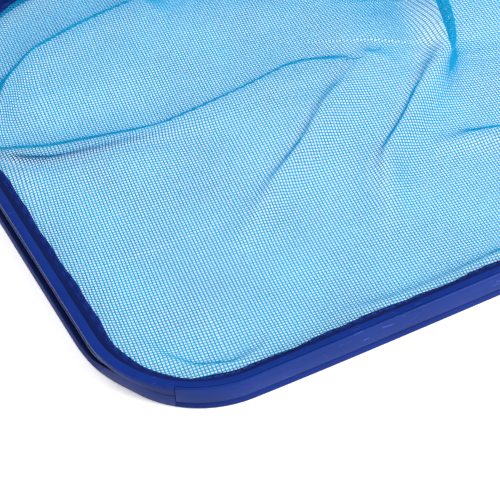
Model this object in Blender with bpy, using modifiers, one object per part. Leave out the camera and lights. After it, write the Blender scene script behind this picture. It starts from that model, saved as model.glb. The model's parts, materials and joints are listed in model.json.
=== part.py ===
# Leaf skimmer net: a moulded D-shaped rim with a scoop blade, a fine net and a pole spigot.
# It lies flat on its rim, +Z up, with the scoop towards -Y and the spigot towards +Y. Metres.
import math

import bmesh
import bpy
from mathutils import Vector

# Driving dimensions
CLEAR = 0.0003              # gap between pieces that touch
DRAFT = 0.0002              # slope of the moulded channel and ledge
OVERCUT = 0.002             # how far a cutter stands past what it cuts

RIM_WIDTH = 0.420           # across the outer edges of the side bands
RIM_DEPTH = 0.320           # front band to rear band
FRONT_RADIUS = 0.050
REAR_RADIUS = 0.110
RIM_HEIGHT = 0.0125
BAND_WIDTH = 0.0041         # flat band on top of the rim
FLANGE_THICK = 0.0014       # edge thickness of that band
WEB_SETBACK = 0.0029        # depth of the outer channel
FOOT_THICK = 0.0030         # flange that the rim rests on
FOOT_BEVEL = 0.0007         # its outer face leans in by this much
TOE_HEIGHT = 0.0005
RIB_LIFT = 0.305            # share of the channel's height below the rib
RIB_THICK = 0.253           # and of the rib itself
RIB_STUB = 0.0006           # all that is left of it behind the blade
RIB_SETBACK = 0.0008        # rib tip behind the band's outer edge
LEDGE_DROP = 0.0032         # inner ledge below the band
LEDGE_REACH = 0.0038
LEDGE_THICK = 0.0009
HOOK_HEIGHT = 0.0008
HOOK_THICK = 0.0007

SIDE_LIP = 0.0014           # foot past the band's outer edge, at the sides and rear
BLADE_MID_LIP = 0.0013      # the same under the middle of the blade
CORNER_TUCK = 0.0023        # the foot tucks in by this much, furthest in the front corners
TUCK_ANGLE = math.radians(60)
TUCK_END = math.radians(104)    # the foot is back at its side lip here, just up the side
BLADE_WRAP = math.radians(37)   # how far the blade turns round each front corner
BLADE_THICK = 0.0010
BLADE_ROUND = 0.0004        # rounding of its lower edge
EDGE_ROUND = 0.0003         # rounding of its other outer edges
CHANNEL_SHUT = math.radians(60) # the outer channel narrows to a crease round each corner
CHANNEL_OPEN = math.radians(92)
CREASE_DROP = 0.0031        # where the channel ends, below the top
CREASE_FALL = 0.0016        # the crease runs down by this much to the blade
CREASE_GAP = 0.0006
CREASE_DEPTH = 0.0012
BLADE_END_GAP = 0.0003      # along the rim, past each end of the blade

CORD_DIAMETER = 0.0020      # bead sewn into the hem
HEM_THICK = 0.0007
HEM_REACH = 0.0030          # hem past the tip of the ledge
NET_THICK = 0.0010
NET_DROP = 0.0005           # edge of the net below the hem
NET_FLOOR = 0.0012          # underside of the net where it lies lowest
NET_HOLD = 0.022            # the hem holds the net up over this distance
NET_MIDDLE = 0.48           # share of the depth from the front to the net's middle
NET_RINGS = 9
NET_BILLOW = 0.0150         # how much the slack net rises towards the rear
BILLOW_START = 0.160        # behind the front band
BILLOW_RUN = 0.080

TAB_THICK = 0.0036          # moulded tabs that carry the yoke and the brace lugs
YOKE_LENGTH = 0.064
YOKE_FRONT_HALF = 0.046
YOKE_EAR = 0.0128           # yoke past the spigot on each side, at the rear
YOKE_TAB_LENGTH = 0.030
YOKE_TAB_BEND = 0.016       # the tab narrows behind this
YOKE_TAB_INSET = 0.004      # tab's sides inside the yoke's
YOKE_BEND = 0.018           # the yoke narrows behind this
YOKE_BEVEL = 0.0012
YOKE_FLOOR = 0.0025         # wall under the spigot
CAP_WALL = 0.0037
CAP_START = 0.014           # front of the clamp cap behind the rim
CAP_FLANGE = 0.0055
CAP_INSET = 0.001           # cap's sides inside the yoke's
CAP_BEVEL = 0.0009

SPIGOT_DIAMETER = 0.0284    # enters a 32 mm pole
SPIGOT_WALL = 0.0016
SPIGOT_REACH = 0.095        # past the yoke
COLLAR_WALL = 0.0035
COLLAR_LENGTH = 0.006
COLLAR_BEVEL = 0.0006
PLUG_FLANGE = 0.002
PLUG_SKIRT = 0.008
PLUG_ROUND = 0.0005

ROD_DIAMETER = 0.008
ROD_WALL = 0.0012
ROD_YOKE_SIDE = 0.0075      # rod's end beside the spigot's bore
ROD_YOKE_PLACE = 0.043      # and behind the rim
LUG_ANGLE = math.radians(38)    # place of the brace lugs round the rear corners
LUG_LENGTH = 0.020
LUG_WIDTH = 0.018
LUG_WALL = 0.0022
LUG_OUT = 0.0055            # lug's inner face past the band's outer edge
LUG_TAPER = 0.002           # its top is smaller by this much all round
LUG_BEVEL = 0.0015
LUG_TAB_MARGIN = 0.001      # tab past the lug

SCREW_DIAMETER = 0.0032
SCREW_HEAD = 0.0062
SCREW_HEAD_HEIGHT = 0.0017
SCREW_SUNK = 0.0002         # heads underneath are this far inside their pockets
SCREW_GRIP = 0.006          # length above the tabs
CAP_SCREW_GRIP = 0.010      # length below the cap
SCREW_END_ROOM = 0.0006     # hole past the screw's tip
LUG_SCREW_INSET = 0.0035
CAP_SCREW_INSET = 0.008
BASE_SCREW_INSET = 0.012    # in from the sides of the yoke
BASE_SCREWS_BACK = (0.012, 0.024)   # behind the rim
BOLT_DIAMETER = 0.004
BOLT_HEAD = 0.0085
BOLT_HEAD_HEIGHT = 0.0026
BOLT_PLACE = 0.052          # cross bolt behind the rim
NUT_ACROSS = 0.0070
NUT_HEIGHT = 0.0028

CLIP_WIDTH = 0.009
CLIP_STRIP = 0.0008
CLIP_BEND = 0.005           # radius of the bend round the cross bolt
CLIP_ROOM = 0.0022          # each leg inside the spigot's wall, at its button
CLIP_LEG = 0.058            # bend to button
CLIP_TAIL = 0.006           # leg past the button
BUTTON_DIAMETER = 0.006
BUTTON_PROUD = 0.0045       # button past the spigot's wall
BUTTON_PLAY = 0.0007
BUTTON_CROWN = 0.0016       # height of its rounded end

ARC_STEPS = 20              # sections round each front corner
REAR_STEPS = 20

# Places worked out from the dimensions
HALF_WIDTH = RIM_WIDTH / 2
REACH = YOKE_LENGTH + SPIGOT_REACH + PLUG_FLANGE
FRONT_Y = -(BLADE_MID_LIP + RIM_DEPTH + REACH) / 2 + BLADE_MID_LIP
REAR_Y = FRONT_Y + RIM_DEPTH
HALF_FRONT = HALF_WIDTH - FRONT_RADIUS
BLADE_HALF = HALF_FRONT + FRONT_RADIUS * BLADE_WRAP
LEDGE_TOP = RIM_HEIGHT - LEDGE_DROP
LEDGE_UNDER = LEDGE_TOP - LEDGE_THICK - DRAFT
POCKET_FLOOR = LEDGE_UNDER - CORD_DIAMETER - HEM_THICK - 4 * CLEAR
LEDGE_TIP = -(BAND_WIDTH + LEDGE_REACH)
FLANGE_UNDER = RIM_HEIGHT - FLANGE_THICK
CHANNEL_FLOOR = FOOT_THICK + DRAFT
CHANNEL_HEIGHT = FLANGE_UNDER - CHANNEL_FLOOR
RIB_HIGH = CHANNEL_FLOOR + (RIB_LIFT + RIB_THICK) * CHANNEL_HEIGHT
HEM_EDGE = LEDGE_TIP - HEM_REACH
HEM_TOP = LEDGE_UNDER - 2 * CLEAR
NET_EDGE = HEM_EDGE - CLEAR
AXIS_Z = TAB_THICK + YOKE_FLOOR + 2 * CLEAR + SPIGOT_DIAMETER / 2
BASE_LOW = TAB_THICK + CLEAR
BASE_HIGH = AXIS_Z - CLEAR / 2
BORE_RADIUS = SPIGOT_DIAMETER / 2 + CLEAR
COLLAR_RADIUS = SPIGOT_DIAMETER / 2 + CLEAR + COLLAR_WALL
YOKE_REAR_HALF = SPIGOT_DIAMETER / 2 + YOKE_EAR
SPIGOT_START = REAR_Y + CAP_START + CAP_WALL + CLEAR
YOKE_END = REAR_Y + YOKE_LENGTH
SPIGOT_END = YOKE_END + SPIGOT_REACH
BOLT_Y = REAR_Y + BOLT_PLACE
BUTTON_Y = BOLT_Y + CLIP_LEG
SPIGOT_INNER = SPIGOT_DIAMETER / 2 - SPIGOT_WALL
ROD_Z = TAB_THICK + CLEAR + LUG_WALL + CLEAR + ROD_DIAMETER / 2
CLIP_SPREAD = SPIGOT_INNER - CLIP_ROOM - CLIP_BEND    # how far each leg leans out
LEG_LEAN = math.atan2(CLIP_SPREAD, CLIP_LEG)


def start_scene():
    for old in list(bpy.data.objects):
        bpy.data.objects.remove(old, do_unlink=True)
    scene = bpy.context.scene
    parts = bpy.data.collections.new("leaf_skimmer_net")
    cutters = bpy.data.collections.new("cutters")
    scene.collection.children.link(parts)
    scene.collection.children.link(cutters)
    return parts, cutters


PARTS, CUTTERS = start_scene()


def material(name, colour, roughness, metallic=0.0):
    made = bpy.data.materials.new(name)
    made.use_nodes = True
    shader = made.node_tree.nodes["Principled BSDF"]
    shader.inputs["Base Color"].default_value = (*colour, 1.0)
    shader.inputs["Roughness"].default_value = roughness
    shader.inputs["Metallic"].default_value = metallic
    made.diffuse_color = (*colour, 1.0)
    return made


RIM_BLUE = material("rim_blue", (0.014, 0.034, 0.30), 0.32)
BLADE_BLUE = material("blade_blue", (0.028, 0.072, 0.38), 0.30)
NET_CYAN = material("net_cyan", (0.19, 0.57, 0.90), 0.75)
HEM_NAVY = material("hem_navy", (0.010, 0.018, 0.16), 0.85)
ALUMINIUM = material("aluminium", (0.78, 0.79, 0.80), 0.34, 1.0)
STEEL = material("stainless_steel", (0.62, 0.62, 0.63), 0.28, 1.0)
PLUG_GREY = material("plug_grey", (0.10, 0.11, 0.12), 0.5)


def place(name, mesh, look, collection=PARTS):
    made = bpy.data.objects.new(name, mesh)
    collection.objects.link(made)
    if look:
        mesh.materials.append(look)
    mesh.shade_smooth()
    mesh.set_sharp_from_angle(angle=math.radians(32))
    return made


def from_bmesh(name, shape, look, collection=PARTS):
    bmesh.ops.recalc_face_normals(shape, faces=shape.faces)
    mesh = bpy.data.meshes.new(name)
    shape.to_mesh(mesh)
    shape.free()
    return place(name, mesh, look, collection)


def as_cutter(tool):
    tool.hide_render = True
    tool.display_type = "WIRE"
    return tool


def combine(target, tool, operation="DIFFERENCE"):
    step = target.modifiers.new(tool.name, "BOOLEAN")
    step.operation = operation
    step.solver = "EXACT"
    step.object = as_cutter(tool)


def bevel(target, width, segments=2, angle=40):
    step = target.modifiers.new("edges", "BEVEL")
    step.width = width
    step.segments = segments
    step.limit_method = "ANGLE"
    step.angle_limit = math.radians(angle)


def cylinder(name, radius, start, end, look=None, sides=32, collection=PARTS):
    """A round bar from start to end."""
    start, end = Vector(start), Vector(end)
    run = end - start
    shape = bmesh.new()
    bmesh.ops.create_cone(shape, cap_ends=True, segments=sides, radius1=radius, radius2=radius,
                          depth=run.length)
    turn = Vector((0, 0, 1)).rotation_difference(run).to_matrix().to_4x4()
    bmesh.ops.transform(shape, matrix=turn, verts=shape.verts)
    bmesh.ops.translate(shape, vec=(start + end) / 2, verts=shape.verts)
    return from_bmesh(name, shape, look, collection)


def block(name, low, high, look=None, collection=PARTS):
    """A box between two corners."""
    low, high = Vector(low), Vector(high)
    shape = bmesh.new()
    bmesh.ops.create_cube(shape, size=1)
    bmesh.ops.scale(shape, vec=high - low, verts=shape.verts)
    bmesh.ops.translate(shape, vec=(low + high) / 2, verts=shape.verts)
    return from_bmesh(name, shape, look, collection)


def frustum(name, low_outline, high_outline, low, high, look=None, collection=PARTS):
    """A block whose flat outline changes between two heights."""
    shape = bmesh.new()
    floor = shape.faces.new([shape.verts.new((x, y, low)) for x, y in low_outline])
    grown = bmesh.ops.extrude_face_region(shape, geom=[floor])
    raised = [item for item in grown["geom"] if isinstance(item, bmesh.types.BMVert)]
    for corner in raised:
        nearest = min(range(len(low_outline)),
                      key=lambda i: (Vector(low_outline[i]) - corner.co.xy).length)
        corner.co = (*high_outline[nearest], high)
    return from_bmesh(name, shape, look, collection)


def turned(name, profile, centre, axis, look, sides=40, collection=PARTS):
    """A profile of (radius, height) points turned about an axis through centre."""
    shape = bmesh.new()
    points = [shape.verts.new((radius, 0, height)) for radius, height in profile]
    on_axis = profile[0][0] == 0    # such a profile starts and ends on the axis
    edges = [shape.edges.new(pair) for pair in zip(points, points[1:])]
    if not on_axis:
        edges.append(shape.edges.new((points[-1], points[0])))
    bmesh.ops.spin(shape, geom=points + edges, cent=(0, 0, 0), axis=(0, 0, 1),
                   angle=math.tau, steps=sides, use_merge=True, use_duplicate=False)
    bmesh.ops.remove_doubles(shape, verts=shape.verts, dist=1e-6)
    turn = Vector((0, 0, 1)).rotation_difference(Vector(axis)).to_matrix().to_4x4()
    bmesh.ops.transform(shape, matrix=turn, verts=shape.verts)
    bmesh.ops.translate(shape, vec=Vector(centre), verts=shape.verts)
    return from_bmesh(name, shape, look, collection)


# The rim's outline

def arc(centre, radius, start, sweep, steps):
    for step in range(steps):
        angle = start + sweep * step / steps
        normal = Vector((math.cos(angle), math.sin(angle)))
        yield centre + normal * radius, normal, abs(radius * sweep) * step / steps


def rim_outline():
    """Stations round the rim, anticlockwise from the middle of the front.

    Each is a point on the outer edge of the band, its outward normal and the distance run.
    """
    quarter = math.pi / 2
    right = HALF_WIDTH
    corner_low, corner_high = FRONT_Y + FRONT_RADIUS, REAR_Y - REAR_RADIUS
    half_rear = right - REAR_RADIUS
    wrap_steps = round(ARC_STEPS * BLADE_WRAP / quarter)
    rest_steps = ARC_STEPS - wrap_steps
    step = BLADE_END_GAP        # the rim comes out to its full width past the blade's end
    step_turn = step / FRONT_RADIUS
    front = Vector((0, -1))
    pieces = []
    pieces += [(Vector((x, FRONT_Y)), front, x) for x in spaced(0, HALF_FRONT, 10)]
    centre = Vector((right - FRONT_RADIUS, corner_low))
    pieces += shifted(arc(centre, FRONT_RADIUS, -quarter, BLADE_WRAP, wrap_steps), HALF_FRONT)
    pieces += shifted(arc(centre, FRONT_RADIUS, -quarter + BLADE_WRAP, step_turn, 1), BLADE_HALF)
    start = BLADE_WRAP + step_turn
    pieces += shifted(arc(centre, FRONT_RADIUS, -quarter + start, quarter - start, rest_steps),
                      BLADE_HALF + step)
    run = HALF_FRONT + FRONT_RADIUS * quarter
    side = Vector((1, 0))
    settled = corner_low + (TUCK_END - quarter) * FRONT_RADIUS
    pieces += [(Vector((right, y)), side, run + y - corner_low)
               for y in spaced(corner_low, settled, 3) + spaced(settled, corner_high, 4)]
    run += corner_high - corner_low
    centre = Vector((half_rear, corner_high))
    pieces += shifted(arc(centre, REAR_RADIUS, 0, quarter, REAR_STEPS), run)
    run += REAR_RADIUS * quarter
    pieces += [(Vector((half_rear - along, REAR_Y)), Vector((0, 1)), run + along)
               for along in spaced(0, half_rear, 3)]
    middle = (Vector((0, REAR_Y)), Vector((0, 1)), run + half_rear)
    mirrored = [(Vector((-p.x, p.y)), Vector((-n.x, n.y)), -along) for p, n, along in pieces[:0:-1]]
    return pieces + [middle] + mirrored


def spaced(start, end, count):
    """Evenly spaced values that leave out the end."""
    return [start + (end - start) * i / count for i in range(count)]


def shifted(stations, run):
    return [(point, normal, run + along) for point, normal, along in stations]


OUTLINE = rim_outline()


def corner_angle(run):
    """How far round a front corner a station is: 0 on the front, a right angle on the side."""
    return (abs(run) - HALF_FRONT) / FRONT_RADIUS


def eased(value, start, end):
    share = min(1.0, max(0.0, (value - start) / (end - start)))
    return share * share * (3 - 2 * share)


def lip_at(run):
    """How far the foot stands past the band's outer edge."""
    angle = corner_angle(run)
    if angle > TUCK_ANGLE:
        return (SIDE_LIP + CORNER_TUCK) * eased(angle, TUCK_ANGLE, TUCK_END) - CORNER_TUCK
    share = abs(run) / (HALF_FRONT + TUCK_ANGLE * FRONT_RADIUS)
    return BLADE_MID_LIP - (BLADE_MID_LIP + CORNER_TUCK) * share ** 5


def face_at(run, height):
    """The sloping outer face, from the band's edge down to the lip."""
    return lip_at(run) * (1 - height / RIM_HEIGHT)


def under_blade(run):
    return abs(run) <= BLADE_HALF * 1.0001


def channel_at(run):
    """Floor, roof and depth of the outer channel, which closes to a crease at the corners."""
    angle = corner_angle(run)
    if under_blade(run):
        return CHANNEL_FLOOR, FLANGE_UNDER, WEB_SETBACK, 0.0
    shut = 1 - eased(angle, CHANNEL_SHUT, CHANNEL_OPEN)
    fall = CREASE_FALL * eased(angle, CHANNEL_SHUT, BLADE_WRAP)
    crease = RIM_HEIGHT - CREASE_DROP - fall
    floor = CHANNEL_FLOOR + (crease - CREASE_GAP / 2 - CHANNEL_FLOOR) * shut
    roof = FLANGE_UNDER + (crease + CREASE_GAP / 2 - FLANGE_UNDER) * shut
    return floor, roof, WEB_SETBACK + (CREASE_DEPTH - WEB_SETBACK) * shut, shut


def rim_section(run):
    """The rim's section as (outward, height) points."""
    lip = lip_at(run)
    floor, roof, depth, shut = channel_at(run)
    blade = under_blade(run)
    edge = -BLADE_THICK - CLEAR if blade else 0.0
    rib = -WEB_SETBACK + RIB_STUB if blade else -depth + (depth - RIB_SETBACK) * (1 - shut)
    rib_low = floor + RIB_LIFT * (roof - floor)
    rib_high = rib_low + RIB_THICK * (roof - floor)
    draft = DRAFT * (roof - floor) / CHANNEL_HEIGHT
    shoulder = lip - FOOT_BEVEL
    shoulder += (face_at(run, floor) - shoulder) * shut
    pocket = POCKET_FLOOR
    hook_in = -BAND_WIDTH - CORD_DIAMETER - 3 * CLEAR
    return [
        (edge, RIM_HEIGHT), (-BAND_WIDTH, RIM_HEIGHT), (-BAND_WIDTH, LEDGE_TOP),
        (LEDGE_TIP, LEDGE_TOP - 2 * DRAFT), (LEDGE_TIP, LEDGE_UNDER), (-BAND_WIDTH, LEDGE_UNDER),
        (-BAND_WIDTH, pocket), (hook_in, pocket), (hook_in, pocket + HOOK_HEIGHT),
        (hook_in - HOOK_THICK, pocket + HOOK_HEIGHT), (hook_in - HOOK_THICK, 0.0),
        (lip - TOE_HEIGHT / 2, 0.0), (lip, TOE_HEIGHT), (shoulder, floor - DRAFT),
        (-depth, floor), (-depth, rib_low - draft), (rib, rib_low),
        (rib, rib_high), (-depth, rib_high + draft), (-depth, roof - draft),
        (edge, roof),
    ]


def blade_section(run):
    """The blade's section: a sloping face, and a tongue that snaps into the channel."""
    low = CHANNEL_FLOOR + CLEAR
    foot = face_at(run, low)
    tongue_tip = -WEB_SETBACK + CLEAR + DRAFT / 2
    tongue_low, tongue_high = RIB_HIGH + DRAFT + 2 * CLEAR, FLANGE_UNDER - 2 * CLEAR
    return [
        (-BLADE_THICK, RIM_HEIGHT), (-EDGE_ROUND, RIM_HEIGHT), (0.0, RIM_HEIGHT - EDGE_ROUND),
        (foot, low + BLADE_ROUND), (foot - EDGE_ROUND, low), (foot - BLADE_THICK, low),
        (-BLADE_THICK, tongue_low), (tongue_tip, tongue_low + DRAFT),
        (tongue_tip, tongue_high - DRAFT), (-BLADE_THICK, tongue_high),
    ]


def sweep(name, stations, section, look, closed=True):
    """Lofts a section that changes along the outline into one closed solid."""
    shape = bmesh.new()
    rings = []
    for point, normal, run in stations:
        ring = [shape.verts.new((*(point + normal * out), height)) for out, height in section(run)]
        rings.append(ring)
    pairs = list(zip(rings, rings[1:] + rings[:1])) if closed else list(zip(rings, rings[1:]))
    for near, far in pairs:
        for i in range(len(near)):
            j = (i + 1) % len(near)
            shape.faces.new((near[i], near[j], far[j], far[i]))
    if not closed:
        shape.faces.new(rings[0])
        shape.faces.new(rings[-1])
    return from_bmesh(name, shape, look)


def lug_frame(side):
    """Place, outward direction and tangent of a brace lug."""
    centre = Vector((side * (HALF_WIDTH - REAR_RADIUS), REAR_Y - REAR_RADIUS))
    out = Vector((side * math.sin(LUG_ANGLE), math.cos(LUG_ANGLE)))
    return centre + out * REAR_RADIUS, out, Vector((-out.y, out.x))


def lug_outline(side, near, far, half):
    start, out, along = lug_frame(side)
    corners = [(near, -half), (far, -half), (far, half), (near, half)]
    return [tuple(start + out * reach + along * shift) for reach, shift in corners]


def rod_ends(side):
    """The brace rod's centre line, from inside its lug to inside the yoke."""
    start, out, _ = lug_frame(side)
    middle = start + out * (LUG_OUT + LUG_LENGTH / 2)
    yoke = Vector((side * (BORE_RADIUS + ROD_YOKE_SIDE), REAR_Y + ROD_YOKE_PLACE))
    run = (yoke - middle).normalized()
    front = middle - run * (LUG_LENGTH * 0.25)
    return Vector((*front, ROD_Z)), Vector((*yoke, ROD_Z)), Vector((*run, 0))


def base_screw_places():
    halves = (YOKE_FRONT_HALF, YOKE_REAR_HALF)
    return [Vector((side * (half - BASE_SCREW_INSET), REAR_Y + back)) for side in (-1, 1)
            for half, back in zip(halves, BASE_SCREWS_BACK)]


def cap_screw_places():
    x = (BORE_RADIUS + CAP_WALL + YOKE_REAR_HALF - CAP_INSET) / 2
    return [Vector((side * x, y)) for side in (-1, 1)
            for y in (REAR_Y + CAP_START + CAP_SCREW_INSET, YOKE_END - CAP_SCREW_INSET)]


def lug_screw_place(side):
    start, out, _ = lug_frame(side)
    return start + out * (LUG_OUT + LUG_LENGTH - LUG_SCREW_INSET)


def screw_from_below(name, spot, top):
    head = SCREW_HEAD / 2
    shank = SCREW_DIAMETER / 2
    low = SCREW_SUNK
    profile = [(0, low), (head, low), (head, low + SCREW_HEAD_HEIGHT),
               (shank, low + SCREW_HEAD_HEIGHT), (shank, top), (0, top)]
    turned(name, profile, (*spot, 0), (0, 0, 1), STEEL, sides=20)


def screw_hole(target, spot, low, high, name, pocket=None):
    """A clearance hole, with a pocket for the head from z = 0 up to pocket."""
    reach = SCREW_DIAMETER / 2 + CLEAR
    combine(target, cylinder(name, reach, (*spot, low), (*spot, high), sides=20,
                             collection=CUTTERS))
    if pocket:
        combine(target, cylinder(name + "_head", SCREW_HEAD / 2 + CLEAR, (*spot, -OVERCUT),
                                 (*spot, pocket), sides=20, collection=CUTTERS))


def make_rim():
    rim = sweep("frame_rim", OUTLINE, rim_section, RIM_BLUE)
    root = -(WEB_SETBACK + BAND_WIDTH) / 2
    front, rear = YOKE_FRONT_HALF, YOKE_REAR_HALF - YOKE_TAB_INSET
    bend, end = REAR_Y + YOKE_TAB_BEND, REAR_Y + YOKE_TAB_LENGTH
    low = [(-front, REAR_Y + root), (front, REAR_Y + root),
           (front - YOKE_TAB_INSET, bend), (rear, end), (-rear, end),
           (-front + YOKE_TAB_INSET, bend)]
    combine(rim, frustum("yoke_tab", low, low, 0.0, TAB_THICK, collection=CUTTERS), "UNION")
    pocket = SCREW_SUNK + SCREW_HEAD_HEIGHT + CLEAR
    over = TAB_THICK + OVERCUT
    for side, word in ((-1, "left"), (1, "right")):
        tab = lug_outline(side, root, LUG_OUT + LUG_LENGTH + LUG_TAB_MARGIN,
                          LUG_WIDTH / 2 + LUG_TAB_MARGIN)
        combine(rim, frustum("lug_tab_" + word, tab, tab, 0.0, TAB_THICK, collection=CUTTERS),
                "UNION")
        screw_hole(rim, lug_screw_place(side), -OVERCUT, over, "lug_hole_" + word, pocket)
    for number, spot in enumerate(base_screw_places(), 1):
        screw_hole(rim, spot, -OVERCUT, over, f"tab_hole_{number}", pocket)


def make_blade():
    stations = sorted((s for s in OUTLINE if under_blade(s[2])), key=lambda s: s[2])
    sweep("front_scoop_blade", stations, blade_section, BLADE_BLUE, closed=False)


def make_hem():
    def tape(run):
        low = HEM_TOP - HEM_THICK
        start = -BAND_WIDTH - 2 * CLEAR
        return [(start, low), (HEM_EDGE, low), (HEM_EDGE, HEM_TOP), (start, HEM_TOP)]
    sweep("hem_tape", OUTLINE, tape, HEM_NAVY)


def make_hem_cord():
    radius = CORD_DIAMETER / 2
    inset = BAND_WIDTH + CLEAR + radius
    height = POCKET_FLOOR + CLEAR + radius
    curve = bpy.data.curves.new("hem_cord", "CURVE")
    curve.dimensions = "3D"
    curve.bevel_depth = radius
    curve.bevel_resolution = 2
    line = curve.splines.new("POLY")
    line.points.add(len(OUTLINE) - 1)
    for spot, (point, normal, _) in zip(line.points, OUTLINE):
        spot.co = (*(point - normal * inset), height, 1)
    line.use_cyclic_u = True
    curve.materials.append(HEM_NAVY)
    PARTS.objects.link(bpy.data.objects.new("hem_cord", curve))


def net_height(x, y):
    """Underside of the slack net: low in front, billowing towards the rear."""
    rise = eased(y - FRONT_Y, BILLOW_START, BILLOW_START + BILLOW_RUN)
    wave = 0.75 + 0.25 * math.cos(x / RIM_WIDTH * 3 * math.tau / 2 + 0.6)
    return NET_FLOOR + NET_BILLOW * rise * wave


def make_net():
    """A thin closed dish: rings from the hem to the middle, top and underside."""
    middle = Vector((0, FRONT_Y + RIM_DEPTH * NET_MIDDLE))
    shares = [1 - (1 - i / NET_RINGS) ** 1.5 for i in range(1, NET_RINGS + 1)]
    edge_low = HEM_TOP - HEM_THICK - NET_DROP - NET_THICK
    shape = bmesh.new()
    sides = []
    for lift in (0.0, NET_THICK):
        rings = []
        for share in shares[::-1]:
            ring = []
            for point, normal, _ in OUTLINE[::2]:
                edge = point + normal * NET_EDGE
                spot = middle + (edge - middle) * share
                inward = (edge - spot).length
                hold = max(0.0, 1 - inward / NET_HOLD) ** 2
                low = net_height(spot.x, spot.y)
                ring.append(shape.verts.new((*spot, low + (edge_low - low) * hold + lift)))
            rings.append(ring)
        low = net_height(*middle)
        rings.append([shape.verts.new((*middle, low + lift))])
        sides.append(rings)
    for rings in sides:
        for near, far in zip(rings, rings[1:]):
            for i in range(len(near)):
                j = (i + 1) % len(near)
                inner = (far[j], far[i]) if len(far) > 1 else (far[0],)
                shape.faces.new((near[i], near[j], *inner))
    low_edge, high_edge = sides[0][0], sides[1][0]
    for i in range(len(low_edge)):
        j = (i + 1) % len(low_edge)
        shape.faces.new((low_edge[i], low_edge[j], high_edge[j], high_edge[i]))
    from_bmesh("net_bag", shape, NET_CYAN)


def rod_bore(target, side, name):
    start, end, run = rod_ends(side)
    combine(target, cylinder(name, ROD_DIAMETER / 2 + CLEAR, start - run * CLEAR,
                             end + run * CLEAR, sides=24, collection=CUTTERS))


def make_yoke_base():
    front = REAR_Y + SIDE_LIP + CLEAR
    bend = REAR_Y + YOKE_BEND
    back = YOKE_END
    low = [(-YOKE_FRONT_HALF, front), (YOKE_FRONT_HALF, front), (YOKE_FRONT_HALF, bend),
           (YOKE_REAR_HALF, back), (-YOKE_REAR_HALF, back), (-YOKE_FRONT_HALF, bend)]
    top = REAR_Y + CAP_START
    narrow = YOKE_REAR_HALF
    shoulder = YOKE_REAR_HALF + CAP_INSET
    fade = bend + YOKE_TAB_INSET
    high = [(-narrow, top), (narrow, top), (shoulder, fade), (narrow, back), (-narrow, back),
            (-shoulder, fade)]
    base = frustum("yoke_base", low, high, BASE_LOW, BASE_HIGH, RIM_BLUE)
    bevel(base, YOKE_BEVEL)
    combine(base, cylinder("base_bore", BORE_RADIUS, (0, SPIGOT_START - CLEAR, AXIS_Z),
                           (0, YOKE_END + OVERCUT, AXIS_Z), sides=48, collection=CUTTERS))
    for side, word in ((-1, "left"), (1, "right")):
        rod_bore(base, side, "base_rod_" + word)
    for number, spot in enumerate(base_screw_places(), 1):
        screw_hole(base, spot, 0.0, BASE_LOW + SCREW_GRIP + SCREW_END_ROOM, f"base_hole_{number}")
    for number, spot in enumerate(cap_screw_places(), 1):
        screw_hole(base, spot, BASE_HIGH - CAP_SCREW_GRIP - SCREW_END_ROOM, BASE_HIGH + OVERCUT,
                   f"base_cap_hole_{number}")
    combine(base, cylinder("base_bolt_hole", BOLT_DIAMETER / 2 + CLEAR, (0, BOLT_Y, 0),
                           (0, BOLT_Y, AXIS_Z), sides=20, collection=CUTTERS))


def make_yoke_cap():
    start = REAR_Y + CAP_START
    low = AXIS_Z + CLEAR / 2
    half = YOKE_REAR_HALF - CAP_INSET
    cap = block("yoke_cap", (-half, start, low), (half, YOKE_END, low + CAP_FLANGE), RIM_BLUE)
    shell = cylinder("cap_shell", BORE_RADIUS + CAP_WALL, (0, start, AXIS_Z),
                     (0, YOKE_END, AXIS_Z), sides=48, collection=CUTTERS)
    combine(shell, block("cap_half", (-YOKE_FRONT_HALF, start - OVERCUT, 0),
                         (YOKE_FRONT_HALF, YOKE_END + OVERCUT, low), collection=CUTTERS))
    bevel(cap, CAP_BEVEL)
    combine(cap, shell, "UNION")
    combine(cap, cylinder("cap_bore", BORE_RADIUS, (0, SPIGOT_START - CLEAR, AXIS_Z),
                          (0, YOKE_END + OVERCUT, AXIS_Z), sides=48, collection=CUTTERS))
    for number, spot in enumerate(cap_screw_places(), 1):
        screw_hole(cap, spot, low - OVERCUT, low + COLLAR_RADIUS, f"cap_hole_{number}")
    combine(cap, cylinder("cap_bolt_hole", BOLT_DIAMETER / 2 + CLEAR, (0, BOLT_Y, AXIS_Z),
                          (0, BOLT_Y, AXIS_Z + 2 * COLLAR_RADIUS), sides=20, collection=CUTTERS))


def make_screws():
    for number, spot in enumerate(base_screw_places(), 1):
        screw_from_below(f"base_screw_{number}", spot, BASE_LOW + SCREW_GRIP)
    for side, word in ((-1, "left"), (1, "right")):
        screw_from_below("lug_screw_" + word, lug_screw_place(side), BASE_LOW + SCREW_GRIP)
    seat = AXIS_Z + CLEAR / 2 + CAP_FLANGE + CLEAR
    head, shank = SCREW_HEAD / 2, SCREW_DIAMETER / 2
    tip, crown = BASE_HIGH - CAP_SCREW_GRIP, seat + SCREW_HEAD_HEIGHT
    profile = [(0, tip), (shank, tip), (shank, seat), (head, seat),
               (head, seat + SCREW_HEAD_HEIGHT * 0.6), (head * 0.7, crown), (0, crown + DRAFT)]
    for number, spot in enumerate(cap_screw_places(), 1):
        turned(f"cap_screw_{number}", profile, (*spot, 0), (0, 0, 1), STEEL, sides=20)


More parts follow.
